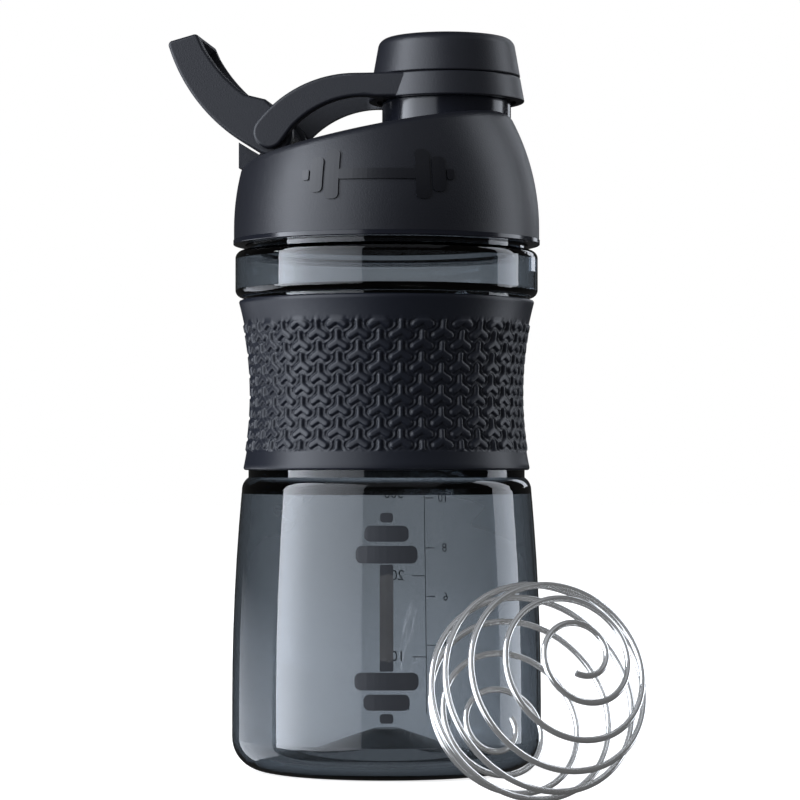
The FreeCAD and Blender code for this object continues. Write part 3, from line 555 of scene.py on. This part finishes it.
def add_dumbbell(bm, middle, handle, plates, upright):
    """A dumbbell centred at the height middle. The handle is (size across, size along, corner) and
    each plate (distance from the middle, size across, size along, corner), in millimetres."""
    def lay_bar(place, across, along, corner):
        x, y = (0, middle + place * MM) if upright else (place * MM, middle)
        width, height = (across, along) if upright else (along, across)
        add_bar(bm, x, y, width * MM, height * MM, corner * MM)

    lay_bar(0, *handle)
    for side in (-1, 1):
        for distance, *size in plates:
            lay_bar(side * distance, *size)


# %% [markdown]
# A flat sheet can't bend where it has no points, so it is cut into narrow strips first. Then it is
# laid on the surface point by point: a ray goes in towards the bottle's axis, and the point is set
# a hair above the place where the ray lands. The print then follows every taper of the wall.

# %% Laying shapes on a surface
RAY_START = 80 * MM


def slice_flat(bm, step, both_ways=False):
    """Cut the sheet every step, so that it can follow a curved surface."""
    for axis in range(2 if both_ways else 1):
        places = [v.co[axis] for v in bm.verts]
        normal = Vector((1, 0, 0)) if axis == 0 else Vector((0, 1, 0))
        spots = np.arange(math.floor(min(places) / step) * step, max(places), step)
        for spot in spots[1:]:
            everything = bm.verts[:] + bm.edges[:] + bm.faces[:]
            bmesh.ops.bisect_plane(bm, geom=everything, dist=1e-7, plane_co=normal * spot,
                                   plane_no=normal)


def surface_of(node):
    """A search tree of a CAD node's faces, for rays to land on."""
    mesh = nodes[node].data
    points = [v.co.copy() for v in mesh.vertices]
    return BVHTree.FromPolygons(points, [tuple(p.vertices) for p in mesh.polygons])


def lay_on(bm, surface, azimuth, radius, lift):
    """Bend the sheet round the axis: x runs round at this radius, y is height, z adds to lift."""
    for vert in bm.verts:
        angle = azimuth + vert.co.x / radius
        ray = Vector((-math.cos(angle), -math.sin(angle), 0))
        start = Vector((0, 0, vert.co.y)) - ray * RAY_START
        spot, normal = surface.ray_cast(start, ray)[:2]
        vert.co = spot + normal * (lift + vert.co.z)


def finish_mark(bm, name, material, body):
    """Turn the sheet into an object that moves with a body."""
    bmesh.ops.recalc_face_normals(bm, faces=bm.faces)
    mesh = bpy.data.meshes.new(name)
    bm.to_mesh(mesh)
    bm.free()
    mesh.materials.append(material)
    mark = bpy.data.objects.new(name, mesh)
    scene.collection.objects.link(mark)
    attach(mark, body)
    print(name, len(mesh.polygons), "faces")


# %% [markdown]
# The front of the bottle has a tall mark in dark ink: a dumbbell that stands on end. Ink has no
# thickness to speak of, so it lies a few hundredths of a millimetre above the plastic, which is
# enough to keep the two surfaces from flickering through each other.

# %% Front mark
INK_LIFT = 0.04 * MM
FRONT = math.radians(-83.0)
MARK_MIDDLE = 41 * MM
MARK_HANDLE = (3.4, 26.5, 0.4)
MARK_PLATES = ((15.7, 16.0, 4.4, 1.6), (20.9, 11.5, 4.0, 1.5), (24.9, 3.4, 2.4, 0.8))
MARK_STRIPS = 1.0 * MM
ink = new_finish("dark_ink", (0.034, 0.037, 0.044), 0.35)
add_grain(ink, 1500.0, 10 * MICRON, 0.05)
bottle_surface = surface_of("bottle_body")
bm = bmesh.new()
add_dumbbell(bm, MARK_MIDDLE, MARK_HANDLE, MARK_PLATES, upright=True)
slice_flat(bm, MARK_STRIPS)
lay_on(bm, bottle_surface, FRONT, body_radius, INK_LIFT)
finish_mark(bm, "front_mark", ink, "bottle")

# %% [markdown]
# The lid has the same sign lying down, moulded in the plastic itself. The flat sheet is made a
# slab first, and its lower face ends as far under the lid's skin as its upper face stands above
# it, so no gap can open along its edge.

# %% Lid emblem
EMBLEM_AZIMUTH = math.radians(-86.6)
EMBLEM_MIDDLE = 151.6 * MM
EMBLEM_HANDLE = (2.6, 19.0, 0.3)
EMBLEM_PLATES = ((11.3, 12.4, 3.6, 1.3), (15.5, 8.8, 3.4, 1.2), (18.6, 2.6, 1.9, 0.5))
EMBLEM_RISE = 0.45 * MM
EMBLEM_STRIPS = 1.2 * MM
LID_RADIUS = 38.5 * MM
satin = new_finish("satin_black", (0.0045, 0.0050, 0.0080), 0.34)
add_grain(satin, 1500.0, 10 * MICRON, 0.03)
bm = bmesh.new()
add_dumbbell(bm, EMBLEM_MIDDLE, EMBLEM_HANDLE, EMBLEM_PLATES, upright=False)
slab = bmesh.ops.extrude_face_region(bm, geom=bm.faces[:])
for part in slab["geom"]:
    if isinstance(part, bmesh.types.BMVert):
        part.co.z = -2 * EMBLEM_RISE
slice_flat(bm, EMBLEM_STRIPS, both_ways=True)
lay_on(bm, surface_of("lid_cover"), EMBLEM_AZIMUTH, LID_RADIUS, EMBLEM_RISE)
finish_mark(bm, "lid_emblem", satin, "lid")

# %% [markdown]
# The measuring scale is printed on the back, to be read from behind: millilitres run up one
# side of a fine upright line and ounces up the other. One more millilitre line is on the band
# above the sleeve.

# %% Measuring scale
BACK = math.radians(80.5)
LINE = 0.22 * MM
UPRIGHT_MIDDLE = 42.5 * MM
UPRIGHT_LENGTH = 63 * MM
ML_FIRST = 26.9 * MM
ML_STEP = 22.1 * MM
ML_BAND = 127.0 * MM
OZ_TOP = 70.0 * MM
OZ_STEP = 13.3 * MM
UNIT_SIZE = 3.2 * MM
SCALE_STRIPS = 1.5 * MM


def add_level(bm, height, text, size, tick_x, tick, text_x):
    """A short line at a height with its number beside it. The last three are in millimetres."""
    add_bar(bm, tick_x * MM, height, tick * MM, LINE)
    add_text(bm, text, text_x * MM, height, size)


ML_SIDE = (2.2, 4.0, 9.4)
OZ_SIDE = (-1.5, 2.6, -6.0)
bm = bmesh.new()
add_bar(bm, 0, UPRIGHT_MIDDLE, LINE, UPRIGHT_LENGTH)
for count in range(3):
    add_level(bm, ML_FIRST + ML_STEP * count, str(100 * (count + 1)), 4.0 * MM, *ML_SIDE)
for count in range(5):
    add_level(bm, OZ_TOP - OZ_STEP * count, str(10 - 2 * count), 3.4 * MM, *OZ_SIDE)
add_text(bm, "ml", 6.5 * MM, 13.0 * MM, UNIT_SIZE)
add_text(bm, "oz", -6.0 * MM, 9.5 * MM, UNIT_SIZE)
add_level(bm, ML_BAND, "500", UNIT_SIZE, *ML_SIDE)
slice_flat(bm, SCALE_STRIPS)
lay_on(bm, bottle_surface, BACK, body_radius, INK_LIFT)
finish_mark(bm, "measuring_scale", ink, "bottle")
